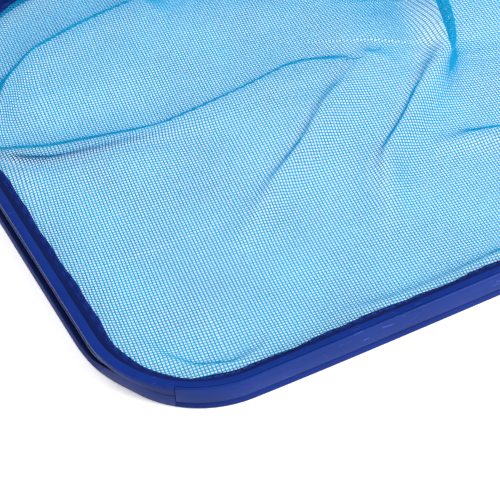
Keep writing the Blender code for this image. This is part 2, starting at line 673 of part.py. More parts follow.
def make_cross_bolt():
    seat = AXIS_Z + BORE_RADIUS + CAP_WALL + CLEAR
    shank, head = BOLT_DIAMETER / 2, BOLT_HEAD / 2
    nut_top = BASE_LOW - CLEAR
    low = nut_top - NUT_HEIGHT - CLEAR
    profile = [(0, low), (shank, low), (shank, seat), (head, seat),
               (head, seat + BOLT_HEAD_HEIGHT * 0.3),
               (head * 0.72, seat + BOLT_HEAD_HEIGHT * 0.8), (0, seat + BOLT_HEAD_HEIGHT)]
    turned("cross_bolt", profile, (0, BOLT_Y, 0), (0, 0, 1), STEEL, sides=24)
    nut = cylinder("cross_nut", NUT_ACROSS / math.sqrt(3), (0, BOLT_Y, nut_top - NUT_HEIGHT),
                   (0, BOLT_Y, nut_top), STEEL, sides=6)
    combine(nut, cylinder("nut_thread", shank + CLEAR, (0, BOLT_Y, -OVERCUT), (0, BOLT_Y, BASE_LOW),
                          sides=24, collection=CUTTERS))


def make_spigot():
    outer = SPIGOT_DIAMETER / 2
    tube = cylinder("pole_spigot", outer, (0, SPIGOT_START, AXIS_Z), (0, SPIGOT_END, AXIS_Z),
                    ALUMINIUM, sides=64)
    combine(tube, cylinder("spigot_bore", SPIGOT_INNER, (0, SPIGOT_START - OVERCUT, AXIS_Z),
                           (0, SPIGOT_END + OVERCUT, AXIS_Z), sides=64, collection=CUTTERS))
    combine(tube, cylinder("spigot_bolt_hole", BOLT_DIAMETER / 2 + CLEAR, (0, BOLT_Y, 0),
                           (0, BOLT_Y, AXIS_Z * 2), sides=20, collection=CUTTERS))
    lever = outer + CLIP_SPREAD - CLIP_BEND     # a pressed button shifts along as it swings in
    shift = lever * math.sin(LEG_LEAN)
    half = BUTTON_DIAMETER / 2 + BUTTON_PLAY
    window = block("button_window", (-SPIGOT_DIAMETER, BUTTON_Y - half, AXIS_Z - half),
                   (SPIGOT_DIAMETER, BUTTON_Y + half + shift, AXIS_Z + half), collection=CUTTERS)
    bevel(window, half * 0.98, segments=5, angle=30)
    combine(tube, window)
    ring = [(outer + CLEAR, 0), (COLLAR_RADIUS, 0), (COLLAR_RADIUS, COLLAR_LENGTH),
            (outer + CLEAR, COLLAR_LENGTH)]
    collar = turned("pole_stop_collar", ring, (0, YOKE_END + CLEAR, AXIS_Z), (0, 1, 0), RIM_BLUE,
                    sides=48)
    bevel(collar, COLLAR_BEVEL, angle=60)
    skirt = SPIGOT_INNER - CLEAR
    plug = [(0, -PLUG_SKIRT), (skirt, -PLUG_SKIRT), (skirt, CLEAR), (outer, CLEAR),
            (outer, PLUG_FLANGE - PLUG_ROUND), (outer - PLUG_ROUND, PLUG_FLANGE), (0, PLUG_FLANGE)]
    turned("spigot_end_plug", plug, (0, SPIGOT_END, AXIS_Z), (0, 1, 0), PLUG_GREY, sides=48)


def make_braces():
    for side, word in ((-1, "left"), (1, "right")):
        start, end, run = rod_ends(side)
        rod = cylinder("brace_rod_" + word, ROD_DIAMETER / 2, start, end, ALUMINIUM, sides=24)
        combine(rod, cylinder("rod_bore_" + word, ROD_DIAMETER / 2 - ROD_WALL,
                              start - run * OVERCUT, end + run * OVERCUT, sides=24, collection=CUTTERS))
        foot = lug_outline(side, LUG_OUT, LUG_OUT + LUG_LENGTH, LUG_WIDTH / 2)
        crown = lug_outline(side, LUG_OUT + LUG_TAPER, LUG_OUT + LUG_LENGTH - LUG_TAPER,
                            LUG_WIDTH / 2 - LUG_TAPER)
        top = ROD_Z + ROD_DIAMETER / 2 + CLEAR + LUG_WALL
        lug = frustum("brace_lug_" + word, foot, crown, BASE_LOW, top, RIM_BLUE)
        bevel(lug, LUG_BEVEL, segments=3)
        rod_bore(lug, side, "lug_rod_" + word)
        screw_hole(lug, lug_screw_place(side), 0.0, BASE_LOW + SCREW_GRIP + SCREW_END_ROOM,
                   "lug_screw_hole_" + word)


def pivot(name, side):
    joint = bpy.data.objects.new(name, None)
    joint.location = (side * CLIP_BEND, BOLT_Y, AXIS_Z)
    PARTS.objects.link(joint)
    bpy.context.view_layer.update()
    return joint


def hang_on(piece, joint):
    piece.parent = joint
    piece.matrix_parent_inverse = joint.matrix_world.inverted()


def make_clip():
    """A spring strip bent round the cross bolt, with a button on each leg."""
    half, thick = CLIP_WIDTH / 2, CLIP_STRIP / 2
    bend = bmesh.new()
    outer, inner = CLIP_BEND + thick, CLIP_BEND - thick
    strip = [bend.verts.new((radius, 0, height)) for radius, height in
             ((inner, -half), (outer, -half), (outer, half), (inner, half))]
    face = bend.faces.new(strip)
    bmesh.ops.spin(bend, geom=[face], cent=(0, 0, 0), axis=(0, 0, 1), angle=-math.pi, steps=14)
    bmesh.ops.translate(bend, vec=(0, BOLT_Y, AXIS_Z), verts=bend.verts)
    from_bmesh("clip_bend", bend, STEEL)
    for side, word in ((-1, "left"), (1, "right")):
        joint = pivot("clip_pivot_" + word, side)
        lean = Vector((side * math.sin(LEG_LEAN), math.cos(LEG_LEAN)))
        across = Vector((lean.y, -lean.x))
        root = Vector((side * CLIP_BEND, BOLT_Y)) + lean * CLEAR
        tip = root + lean * (CLIP_LEG + CLIP_TAIL)
        outline = [tuple(spot + across * shift) for spot, shift in
                   ((root, -thick), (tip, -thick), (tip, thick), (root, thick))]
        leg = frustum("clip_leg_" + word, outline, outline, AXIS_Z - half, AXIS_Z + half, STEEL)
        hang_on(leg, joint)
        seat = CLIP_BEND + CLIP_SPREAD + (thick + CLEAR) / math.cos(LEG_LEAN) \
            + BUTTON_DIAMETER / 2 * math.tan(LEG_LEAN)
        reach = SPIGOT_DIAMETER / 2 + BUTTON_PROUD
        radius = BUTTON_DIAMETER / 2
        profile = [(0, seat), (radius, seat), (radius, reach - BUTTON_CROWN),
                   (radius * 0.8, reach - BUTTON_CROWN * 0.3), (radius * 0.45, reach), (0, reach)]
        button = turned("snap_button_" + word, profile, (0, BUTTON_Y, AXIS_Z), (side, 0, 0),
                        STEEL, sides=28)
        hang_on(button, joint)


make_rim()
make_blade()
make_hem()
make_hem_cord()
make_net()
make_yoke_base()
make_yoke_cap()
make_screws()
make_cross_bolt()
make_spigot()
make_braces()
make_clip()
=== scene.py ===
# Leaf skimmer net: finishes, net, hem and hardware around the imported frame. Metres, +Z up.
import json
import math

import bmesh
import bpy
import numpy as np
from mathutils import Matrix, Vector


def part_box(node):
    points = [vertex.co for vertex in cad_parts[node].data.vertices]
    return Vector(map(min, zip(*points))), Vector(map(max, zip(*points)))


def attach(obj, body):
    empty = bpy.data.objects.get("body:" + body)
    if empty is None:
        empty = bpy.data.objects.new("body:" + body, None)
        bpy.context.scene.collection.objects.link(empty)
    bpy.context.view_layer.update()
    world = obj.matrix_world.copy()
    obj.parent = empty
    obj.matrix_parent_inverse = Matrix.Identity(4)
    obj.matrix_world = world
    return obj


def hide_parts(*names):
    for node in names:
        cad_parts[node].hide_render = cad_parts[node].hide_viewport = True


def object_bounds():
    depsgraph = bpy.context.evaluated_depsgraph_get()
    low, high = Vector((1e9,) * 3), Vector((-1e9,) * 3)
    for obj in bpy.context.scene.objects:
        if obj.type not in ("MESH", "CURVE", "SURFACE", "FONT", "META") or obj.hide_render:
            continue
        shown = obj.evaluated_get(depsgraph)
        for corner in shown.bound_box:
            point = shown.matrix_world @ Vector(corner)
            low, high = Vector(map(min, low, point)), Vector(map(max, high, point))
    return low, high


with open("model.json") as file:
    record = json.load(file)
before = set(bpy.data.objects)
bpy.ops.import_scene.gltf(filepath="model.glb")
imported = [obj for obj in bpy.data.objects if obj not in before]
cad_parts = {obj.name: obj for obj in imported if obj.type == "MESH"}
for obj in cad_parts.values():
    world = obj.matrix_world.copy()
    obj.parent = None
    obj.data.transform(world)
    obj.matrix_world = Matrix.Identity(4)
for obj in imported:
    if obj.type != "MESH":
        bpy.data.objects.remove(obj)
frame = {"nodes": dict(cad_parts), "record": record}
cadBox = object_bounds()
print("frame loaded")

mm = 0.001
nodes = frame["nodes"]

rimShape = {
    "sideLip": 1.4 * mm,        # foot past the top band, sides and rear
    "frontLip": 1.3 * mm,
    "frontRadius": 50 * mm,
    "rearRadius": 110 * mm,
    "depth": 320 * mm,
    "hemInset": 10.9 * mm,      # hem's inner edge inside the band's outer edge
}


# Places read from the frame

rimLow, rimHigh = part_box("frame_rim")
hemLow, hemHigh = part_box("hem_tape")
halfWidth = rimHigh.x - rimShape["sideLip"]
frontY = rimLow.y + rimShape["frontLip"]
rearY = frontY + rimShape["depth"]
bandTop = rimHigh.z
cornerSpot = Vector((-halfWidth, frontY))


# One socket of a material's nodes; sums and products of wires add Math nodes
class Wire:
    def __init__(self, tree, socket):
        self.tree, self.socket = tree, socket

    def maths(self, operation, *values, **settings):
        return self.tree.add("ShaderNodeMath", dict(operation=operation, **settings),
                             {i: value for i, value in enumerate(values)})

    def __add__(self, other):
        return self.maths("ADD", self, other)

    __radd__ = __add__

    def __mul__(self, other):
        return self.maths("MULTIPLY", self, other)

    __rmul__ = __mul__

    def __sub__(self, other):
        return self.maths("SUBTRACT", self, other)

    def __rsub__(self, other):
        return self.maths("SUBTRACT", other, self)

    def clipped(self, low, high):
        share = (self - low) * (1 / (high - low))
        return self.maths("MULTIPLY", share, 1.0, use_clamp=True)


# A material being made: add() puts in any node and gives back its first output
class Finish:
    def __init__(self, name, roughness=0.5, metallic=0.0, **shader):
        self.material = bpy.data.materials.new(name)
        self.material.use_nodes = True
        self.nodes = self.material.node_tree.nodes
        self.links = self.material.node_tree.links
        self.shader = self.nodes["Principled BSDF"]
        self.output = self.nodes["Material Output"]
        self.feed(self.shader, {"Roughness": roughness, "Metallic": metallic, **shader})

    def feed(self, node, values):
        for key, value in values.items():
            socket = node.inputs[key]
            if isinstance(value, Wire):
                self.links.new(value.socket, socket)
            elif isinstance(value, tuple) and len(value) == 3 and socket.type == "RGBA":
                socket.default_value = (*value, 1.0)
            else:
                socket.default_value = value

    def add(self, kind, settings=None, values=None, output=0):
        node = self.nodes.new(kind)
        for key, value in (settings or {}).items():
            setattr(node, key, value)
        self.feed(node, values or {})
        return Wire(self, node.outputs[output])

    def place(self, scale=(1, 1, 1), turn=(0, 0, 0)):
        spot = self.add("ShaderNodeTexCoord", output="Object")
        return self.add("ShaderNodeMapping", {},
                        {"Vector": spot, "Scale": scale, "Rotation": turn})

    def noise(self, vector, scale, detail=3.0, rough=0.5):
        return self.add("ShaderNodeTexNoise", {},
                        {"Vector": vector, "Scale": scale, "Detail": detail, "Roughness": rough})

    def mix(self, share, low, high):
        node = self.nodes.new("ShaderNodeMix")
        node.data_type = "RGBA"
        factor, first, second = (node.inputs[i] for i in (0, 6, 7))
        for socket, value in ((factor, share), (first, low), (second, high)):
            if isinstance(value, Wire):
                self.links.new(value.socket, socket)
            elif socket.type == "RGBA":
                socket.default_value = (*value, 1.0)
            else:
                socket.default_value = value
        return Wire(self, node.outputs[2])

    def bump(self, height, distance, strength=1.0, under=None):
        values = {"Height": height, "Distance": distance, "Strength": strength}
        if under:
            values["Normal"] = under
        return self.add("ShaderNodeBump", {}, values)

    def done(self, **sockets):
        self.feed(self.shader, {name.replace("_", " "): value for name, value in sockets.items()})
        return self.material


# Finishes

# Injection-moulded plastic: faint flow marks, fine skin and a few scuffs, with painted shade
# darkening its recesses and, when a ledge height is given, the ledge under the band
def mouldedPlastic(name, deep, light, gloss, scuffs, paintedShade=0.6, ledge=None):
    look = Finish(name, roughness=gloss, **{"Specular IOR Level": 0.09})
    spot = look.place()
    flow = look.noise(look.place(scale=(1, 1, 6)), 22, 4)
    cloud = look.noise(spot, 60, 2)
    skin = look.noise(spot, 2600, 2, 0.6)
    scratch = look.noise(look.place(scale=(1, 14, 14), turn=(0, 0, 0.4)), 130, 2)
    hair = scratch.clipped(0.66, 0.70) * look.noise(spot, 35, 2).clipped(0.5, 0.7) * scuffs
    colour = look.mix(flow.clipped(0.3, 0.75), deep, light)
    colour = look.mix(hair, colour, tuple(min(1.0, v * 2.2 + 0.10) for v in light))
    # painted shade: the colour is darkened towards a shaded copy of the deep blue wherever ambient
    # occlusion finds a recess, in grooves and corners
    unshaded = look.add("ShaderNodeAmbientOcclusion", {"only_local": True, "samples": 8},
                     {"Distance": 6 * mm}, output=1)
    colour = look.mix(unshaded.clipped(0.55, 0.97), tuple(v * paintedShade for v in deep), colour)
    if ledge:       # the ledge under the band lies in its own shade
        height = look.add("ShaderNodeSeparateXYZ", {}, {"Vector": spot}, output=2)
        level = height.clipped(ledge - 0.8 * mm, ledge - 0.5 * mm) \
            - height.clipped(ledge + 0.1 * mm, ledge + 0.4 * mm)
        patch = look.noise(look.place(scale=(1, 0.3, 1)), 90, 2).clipped(0.3, 0.7) * 0.25 + 0.55
        colour = look.mix(level * patch, colour, tuple(v * paintedShade for v in deep))
    rough = cloud * 0.10 + gloss - 0.04 + hair * 0.25
    normal = look.bump(skin * 0.6 + cloud * 1.4 + hair * 0.8, 0.00004, 0.55)
    return look.done(Base_Color=colour, Roughness=rough, Normal=normal)


# Round monofilament that lets some light through
def threadPlastic(name, deep, light, inner, through):
    look = Finish(name, roughness=0.38, **{"Specular IOR Level": 0.3})
    spot = look.place()
    shade = look.noise(spot, 30, 3).clipped(0.3, 0.7)
    colour = look.mix(shade, deep, light)
    look.done(Base_Color=colour, Roughness=0.32 + 0.16 * look.noise(spot, 400, 2))
    glow = look.add("ShaderNodeBsdfTranslucent", {}, {"Color": inner})
    both = look.add("ShaderNodeMixShader", {}, {
        0: through, 1: Wire(look, look.shader.outputs[0]), 2: glow})
    look.links.new(both.socket, look.output.inputs["Surface"])
    return look.material


# Woven binding: a diagonal twill read from the tape's own map, and a little fuzz
def wovenTape(name, deep, light, pitch):
    look = Finish(name, roughness=0.85, **{"Specular IOR Level": 0.08})
    flat = look.add("ShaderNodeUVMap", {"uv_map": "cloth"})
    ribs = look.add("ShaderNodeTexWave", {"wave_type": "BANDS", "bands_direction": "DIAGONAL"},
                    {"Vector": flat, "Scale": 1 / pitch / 20, "Distortion": 0.6, "Detail": 1.0},
                    output=1)
    fuzz = look.noise(look.place(), 1500, 3)
    colour = look.mix(ribs * 0.7 + fuzz * 0.3, deep, light)
    normal = look.bump(ribs + fuzz * 0.5, 0.00015, 0.8)
    return look.done(Base_Color=colour, Normal=normal)


def drawnAluminium(name):
    look = Finish(name, roughness=0.33, metallic=1.0)
    spot = look.place()
    lines = look.noise(look.place(scale=(90, 1, 90)), 24, 3)
    stain = look.noise(spot, 40, 3).clipped(0.35, 0.7)
    colour = look.mix(stain, (0.66, 0.67, 0.69), (0.80, 0.81, 0.82))
    return look.done(Base_Color=colour, Roughness=0.26 + 0.14 * lines,
                     Normal=look.bump(lines, 0.00003, 0.5))


def brushedSteel(name):
    look = Finish(name, roughness=0.25, metallic=1.0)
    spot = look.place()
    lines = look.noise(look.place(scale=(1, 30, 30)), 300, 3)
    colour = look.mix(look.noise(spot, 90, 2), (0.50, 0.50, 0.52), (0.68, 0.68, 0.69))
    return look.done(Base_Color=colour, Roughness=0.18 + 0.18 * lines,
                     Normal=look.bump(lines, 0.00002, 0.5))


# the rim gets the strongest painted shade, in its recesses and on the ledge under its band
rimBlue = mouldedPlastic("rimBlue", (0.003, 0.018, 0.145), (0.006, 0.027, 0.195), 0.28, 0.35, 0.22,
                         ledge=9.3 * mm)
bladeBlue = mouldedPlastic("bladeBlue", (0.004, 0.022, 0.155), (0.009, 0.034, 0.22), 0.30, 0.9)
plugGrey = mouldedPlastic("plugGrey", (0.06, 0.065, 0.07), (0.11, 0.115, 0.12), 0.5, 0.4)
threadBlue = threadPlastic("threadBlue", (0.003, 0.35, 0.63), (0.008, 0.48, 0.76),
                           (0.03, 0.75, 0.92), 0.62)
hemNavy = wovenTape("hemNavy", (0.002, 0.010, 0.09), (0.006, 0.020, 0.16), 0.0006)
stitchBlue = threadPlastic("stitchBlue", (0.008, 0.03, 0.22), (0.02, 0.06, 0.32),
                           (0.02, 0.06, 0.4), 0.1)
aluminium = drawnAluminium("satinAluminium")
steel = brushedSteel("brushedSteel")
print("finishes made")


# The camera, light and floor

cameraSetup = {
    "azimuth": -28.93, "elevation": 44.0, "distance": 0.6087, "lens": 100.8,
    "aim": (0.0839, 0.0646),    # from the rim's front left corner
}


def makeCamera():
    turn, rise = (math.radians(cameraSetup[k]) for k in ("azimuth", "elevation"))
    back = Vector((math.sin(turn) * math.cos(rise), -math.cos(turn) * math.cos(rise),
                   math.sin(rise)))
    aim = Vector((*(cornerSpot + Vector(cameraSetup["aim"])), bandTop))
    data = bpy.data.cameras.new("camera")
    data.lens, data.clip_start = cameraSetup["lens"], 0.01
    camera = bpy.data.objects.new("camera", data)
    bpy.context.scene.collection.objects.link(camera)
    camera.location = aim + back * cameraSetup["distance"]
    camera.rotation_euler = back.to_track_quat("Z", "Y").to_euler()
    bpy.context.scene.camera = camera


lightSetup = {
    "sky": 0.34,
    "floorGlow": 0.30,
    "panels": [     # name, place from the middle, size, watts
        ("front", (0.85, -1.05, 1.05), 0.9, 33),
        ("above", (-0.35, -0.25, 1.6), 0.9, 14),
        ("rear left", (-1.3, 1.15, 0.65), 0.8, 2.5),
    ],
}


def makeStage():
    shape = bmesh.new()
    bmesh.ops.create_grid(shape, x_segments=1, y_segments=1, size=6)
    mesh = bpy.data.meshes.new("floor")
    shape.to_mesh(mesh)
    shape.free()
    floor = bpy.data.objects.new("floor", mesh)
    bpy.context.scene.collection.objects.link(floor)
    paint = Finish("paleFloor", roughness=0.9)
    tone = paint.noise(paint.place(), 3, 2)
    mesh.materials.append(paint.done(
        Base_Color=paint.mix(tone, (0.90, 0.90, 0.91), (0.93, 0.93, 0.93)),
        Emission_Color=(1.0, 1.0, 1.0), Emission_Strength=lightSetup["floorGlow"]))
    floor.location.z = cadBox[0][2] - 0.0002
    world = bpy.data.worlds.new("sky")
    world.use_nodes = True
    world.node_tree.nodes["Background"].inputs["Color"].default_value = (1, 1, 1, 1)
    world.node_tree.nodes["Background"].inputs["Strength"].default_value = lightSetup["sky"]
    bpy.context.scene.world = world
    bpy.context.scene.view_settings.view_transform = "Standard"
    for name, spot, size, watts in lightSetup["panels"]:
        data = bpy.data.lights.new(name, "AREA")
        data.size, data.energy = size, watts
        panel = bpy.data.objects.new(name, data)
        bpy.context.scene.collection.objects.link(panel)
        panel.location = spot
        panel.rotation_euler = Vector(spot).to_track_quat("Z", "Y").to_euler()


makeCamera()
makeStage()
print("camera, light and floor made")


# Small makers

def addPiece(name, mesh, finish, body="frame", replaced=()):
    piece = bpy.data.objects.new(name, mesh)
    bpy.context.scene.collection.objects.link(piece)
    mesh.materials.clear()
    mesh.materials.append(finish)
    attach(piece, body)
    if replaced:
        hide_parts(*replaced)
    return piece


# A mesh of what an object evaluates to, so that no curve or modifier is left live
def settled(source, name):
    bpy.context.view_layer.update()
    seen = source.evaluated_get(bpy.context.evaluated_depsgraph_get())
    mesh = bpy.data.meshes.new_from_object(seen)
    mesh.name = name
    bpy.data.objects.remove(source)
    return mesh


# Closes the loose caps of a mesh made from a curve
def welded(mesh):
    shape = bmesh.new()
    shape.from_mesh(mesh)
    bmesh.ops.remove_doubles(shape, verts=shape.verts, dist=1e-6)
    shape.to_mesh(mesh)
    shape.free()
    return mesh


# The CAD node with its edges rounded, in place of it
def softened(node, finish, width, sharp=30):
    shape = bmesh.new()
    shape.from_mesh(nodes[node].data)
    bmesh.ops.remove_doubles(shape, verts=shape.verts, dist=1e-6)
    bmesh.ops.join_triangles(shape, faces=shape.faces, angle_face_threshold=math.radians(1),
                             angle_shape_threshold=math.radians(180))
    mesh = bpy.data.meshes.new(node)
    shape.to_mesh(mesh)
    shape.free()
    draft = bpy.data.objects.new("draft", mesh)
    bpy.context.scene.collection.objects.link(draft)
    edges = draft.modifiers.new("edges", "BEVEL")
    edges.width, edges.segments, edges.profile = width, 2, 0.5
    edges.limit_method, edges.angle_limit = "ANGLE", math.radians(sharp)
    mesh = settled(draft, node + "_finished")
    mesh.shade_smooth()
    mesh.set_sharp_from_angle(angle=math.radians(sharp))
    return addPiece(node + "_finished", mesh, finish, "frame", (node,))


# The rim's outline, for what follows it

# How far inside the band's outer edge a point lies. x and y are arrays
def insetAt(x, y):
    side = np.abs(x)
    front, rear = rimShape["frontRadius"], rimShape["rearRadius"]
    plain = np.minimum(halfWidth - side, np.minimum(y - frontY, rearY - y))
    acrossFront, downFront = side - (halfWidth - front), (frontY + front) - y
    acrossRear, upRear = side - (halfWidth - rear), y - (rearY - rear)
    plain = np.where((acrossFront > 0) & (downFront > 0),
                     front - np.hypot(acrossFront, downFront), plain)
    return np.where((acrossRear > 0) & (upRear > 0), rear - np.hypot(acrossRear, upRear), plain)


# Point and outward normal on the band's outer edge, run metres from the middle of the front
def outlineAt(run):
    front, rear = rimShape["frontRadius"], rimShape["rearRadius"]
    quarter = math.pi / 2
    side = 1 if run >= 0 else -1
    left = abs(run)
    stretches = [(halfWidth - front, "front"), (front * quarter, "corner"),
                 (rimShape["depth"] - front - rear, "side"), (rear * quarter, "turn"),
                 (halfWidth - rear, "rear")]
    for length, kind in stretches:
        if left <= length or kind == "rear":
            break
        left -= length
    if kind == "front":
        point, normal = Vector((left, frontY)), Vector((0, -1))
    elif kind == "side":
        point, normal = Vector((halfWidth, frontY + front + left)), Vector((1, 0))
    elif kind == "rear":
        point, normal = Vector((halfWidth - rear - left, rearY)), Vector((0, 1))
    else:
        radius = front if kind == "corner" else rear
        start = -quarter if kind == "corner" else 0.0
        centre = Vector((halfWidth - radius,
                         frontY + radius if kind == "corner" else rearY - radius))
        angle = start + left / radius
        normal = Vector((math.cos(angle), math.sin(angle)))
        point = centre + normal * radius
    return Vector((point.x * side, point.y)), Vector((normal.x * side, normal.y))


halfOutline = ((halfWidth - rimShape["frontRadius"]) + rimShape["frontRadius"] * math.pi / 2
               + rimShape["depth"] - rimShape["frontRadius"] - rimShape["rearRadius"]
               + rimShape["rearRadius"] * math.pi / 2 + halfWidth - rimShape["rearRadius"])


# The net

netSetup = {
    "pitch": 1.56 * mm,
    "thread": 0.60 * mm,        # thickness of one monofilament
    "turn": math.radians(-9),   # the weave lies askew in the rim
    "floor": 2.4 * mm,
    "tuck": 1.5 * mm,           # how far the net goes under the hem
    "fine": 1.0 * mm,           # threads are laid in steps this long, then thinned
    "slack": 0.09 * mm,         # how far a thinned thread may leave its path
    "longest": 9,               # fine steps in a straight stretch
    "halfSpan": 0.34,           # threads are laid this far each way, then cut at the hem
    "shortest": 8,              # a thread is left out when it has no more steps than this
    "crossing": 0.2,            # each family's offset up or down, as a share of the thread
    "farWay": (0.484, 0.875),   # the far sides of folds look this way, to the rear right
    "foldReach": 70 * mm,       # a fold moves cloth no further away than this
    "foldWidth": 0.9,           # a side is at least this wide, as a share of the height
    "foldEnd": 9 * mm,          # its height fades past its ends
    "drawFade": 50 * mm,        # how far cloth is drawn in towards it
    "tiltFade": 20 * mm,        # how far its lean is made up for at its foot
    "hold": 6 * mm,             # the hem holds folds down over this distance
    "settle": 10 * mm,          # and the whole net over this one
    "edgeDrop": 1.2,            # threads' middle below the hem, in thread thicknesses
    "ripple": 0.35 * mm,
    "drift": 0.22 * mm,         # threads wander in the plane by this much
    "chunk": 20000,             # points worked on at once
}

# Folds in the slack net, listed as (x, y, height, near width, far width, lean) in
# millimetres from the rim's front left corner. The near side looks to the front left.
netFolds = [
    [(5, 195, 2, 8, 4, 0), (15, 185, 7, 7, 5, -0.9), (35, 175, 9.5, 5, 6, -1.3),
     (60, 170, 8.5, 5, 6, -1), (90, 165, 6.5, 8, 5, -0.5), (140, 170, 4.5, 16, 5, 0),
     (170, 175, 5, 18, 5, 0), (190, 165, 2.5, 14, 6, 0)],
    [(15, 200, 2, 8, 4, 0), (25, 215, 4, 8, 5, -0.5), (40, 235, 5, 10, 5, -0.3),
     (60, 250, 5, 14, 5, 0), (90, 260, 5, 16, 5, 0), (125, 265, 4, 16, 5, 0)],
    [(260, 190, 11, 8, 8, -1.3), (250, 165, 11, 8, 8, -1.3), (245, 150, 9.5, 9, 8, -1),
     (220, 130, 7, 12, 6, -0.4), (195, 110, 5.5, 10, 5, 0), (175, 95, 4.5, 8, 5, 0),
     (155, 60, 1, 8, 8, 0)],
    [(90, 80, 1, 8, 6, 0), (120, 105, 4, 8, 5, 0), (145, 120, 4.5, 9, 5, 0),
     (170, 140, 4.5, 11, 6, 0), (205, 160, 3, 14, 8, 0)],
    [(205, 90, 1, 6, 6, 0), (220, 90, 3, 7, 5, 0), (235, 85, 4.5, 8, 5, 0),
     (255, 70, 4, 8, 6, 0)],
    [(20, 50, 0.5, 5, 4, 0), (25, 35, 1.5, 5, 3, 0), (35, 22, 2, 5, 2.5, 0),
     (50, 15, 2.5, 4, 3, 0), (65, 18, 1.5, 4, 3, 0), (75, 25, 0.5, 5, 5, 0)],
    [(105, 20, 0.5, 5, 4, 0), (120, 16, 1.5, 5, 3, 0), (140, 14, 2, 4, 3, 0),
     (185, 16, 2.5, 5, 3, 0), (230, 15, 1, 5, 3, 0)],
]
# Broad swells: place, reach across and along, height
netSwells = [
    ((160, 140), (60, 42), 7.0),
    ((150, 240), (95, 40), 8.0),
    ((225, 175), (42, 40), 8.0),
    ((320, 220), (60, 60), 9.0),
    ((60, 215), (40, 25), 3.0),
    ((340, 110), (45, 60), 5.0),
]


# A smooth run of points with height, widths and lean carried along it
def foldLine(fold, count=150):
    points = np.array(fold, float)
    points[:, :5] *= mm
    gaps = np.r_[0, np.cumsum(np.hypot(*np.diff(points[:, :2], axis=0).T))]
    run = np.linspace(0, gaps[-1], count)
    kernel = np.hanning(21)
    kernel /= kernel.sum()

    def smooth(column):
        even = np.interp(run, gaps, column)
        ends = np.r_[2 * even[0] - even[10:0:-1], even, 2 * even[-1] - even[-2:-12:-1]]
        return np.convolve(ends, kernel, "valid")

    return np.stack([smooth(column) for column in points.T], 1)


# How far cloth is drawn in on one side of a fold of unit width, by steepness and reach
def gatherTable():
    along = np.linspace(0, 3, 300)
    steep = np.linspace(0, 1.15, 24)
    slope = steep[:, None] * 2 * along * np.exp(-along ** 2)
    drawn = np.cumsum(1 - np.sqrt(np.clip(1 - slope ** 2, 0.02, 1)), 1) * (along[1] - along[0])
    return along, steep, drawn


gatherAlong, gatherSteep, gatherDrawn = gatherTable()


# Looks the table up between its rows and columns
def gathered(steep, reach):
    row = np.clip(steep / gatherSteep[-1] * (len(gatherSteep) - 1), 0, len(gatherSteep) - 1.001)
    column = np.clip(reach / gatherAlong[-1] * (len(gatherAlong) - 1), 0, len(gatherAlong) - 1.001)
    top, left = row.astype(int), column.astype(int)
    down, right = row - top, column - left
    near = gatherDrawn[top, left] * (1 - right) + gatherDrawn[top, left + 1] * right
    far = gatherDrawn[top + 1, left] * (1 - right) + gatherDrawn[top + 1, left + 1] * right
    return near * (1 - down) + far * down


# Shift and lift that one fold gives to flat cloth points
def layFold(flat, line, free):
    places = line[:, :2] + np.array(cornerSpot)
    shift, lift = np.zeros_like(flat), np.zeros(len(flat))
    low, high = places.min(0) - netSetup["foldReach"], places.max(0) + netSetup["foldReach"]
    near = np.flatnonzero(((flat > low) & (flat < high)).all(1))
    run = np.gradient(places, axis=0)
    run /= np.linalg.norm(run, axis=1, keepdims=True)
    for chunk in np.array_split(near, max(1, len(near) // netSetup["chunk"])):
        gaps = flat[chunk, None, :] - places[None, :, :]
        reach = np.einsum("ijk,ijk->ij", gaps, gaps)
        nearest = reach.argmin(1)
        away = np.sqrt(reach[np.arange(len(chunk)), nearest])
        gap = gaps[np.arange(len(chunk)), nearest]
        across = np.stack([-run[:, 1], run[:, 0]], 1)
        farSide = across[len(run) // 2] @ np.array(netSetup["farWay"]) > 0
        across = (across if farSide else -across)[nearest]
        side = np.sign((gap * across).sum(1))
        ends = (nearest == 0) | (nearest == len(places) - 1)
        past = np.where(ends, np.abs((gap * run[nearest]).sum(1)), 0)
        _, _, height, nearWidth, farWidth, lean = line[nearest].T
        tall = height * np.exp(-(past / netSetup["foldEnd"]) ** 2) * free[chunk]
        width = np.where(side < 0, nearWidth, farWidth)
        width = np.maximum(width, netSetup["foldWidth"] * tall)
        raised = tall * np.exp(-(away / width) ** 2)
        drawn = width * gathered(tall / width, away / width)
        fade = np.exp(-(away / netSetup["drawFade"]) ** 2)
        tilt = lean * (raised - 0.5 * tall * np.exp(-(away / netSetup["tiltFade"]) ** 2))
        shift[chunk] = across * (tilt - side * drawn * fade)[:, None]
        lift[chunk] = raised
    return shift, lift


foldLines = [foldLine(fold) for fold in netFolds]


# Takes flat cloth points (n, 2) to where the slack net lies (n, 3)
def layNet(flat):
    inside = np.clip(insetAt(flat[:, 0], flat[:, 1]) - rimShape["hemInset"], 0, None)
    free = 1 - np.exp(-(inside / netSetup["hold"]) ** 1.5)
    spot, lift = flat.copy(), np.zeros(len(flat))
    for line in foldLines:
        shift, raised = layFold(flat, line, free)
        spot += shift
        lift += raised
    swell = np.zeros(len(flat))
    for place, reach, height in netSwells:
        far = (flat - np.array(cornerSpot)) / mm - np.array(place)
        swell += height * mm * np.exp(-((far / np.array(reach)) ** 2).sum(1))
    x, y = (flat / mm).T
    ripple = netSetup["ripple"] * np.sin(x / 13 + 1.3 * np.sin(y / 31)) * np.sin(y / 17 + 0.7)
    drift = np.stack([np.sin(y / 9 + 2 * np.sin(x / 37)) * np.sin(x / 23),
                      np.sin(x / 8 + 2 * np.sin(y / 29)) * np.sin(y / 19 + 1)], 1)
    spot += drift * netSetup["drift"] * free[:, None]
    settle = 1 - np.exp(-inside / netSetup["settle"])
    edge = hemLow.z - netSetup["edgeDrop"] * netSetup["thread"]
    floor = netSetup["floor"] + swell + ripple
    return np.column_stack([spot, edge + (floor - edge) * settle + lift])


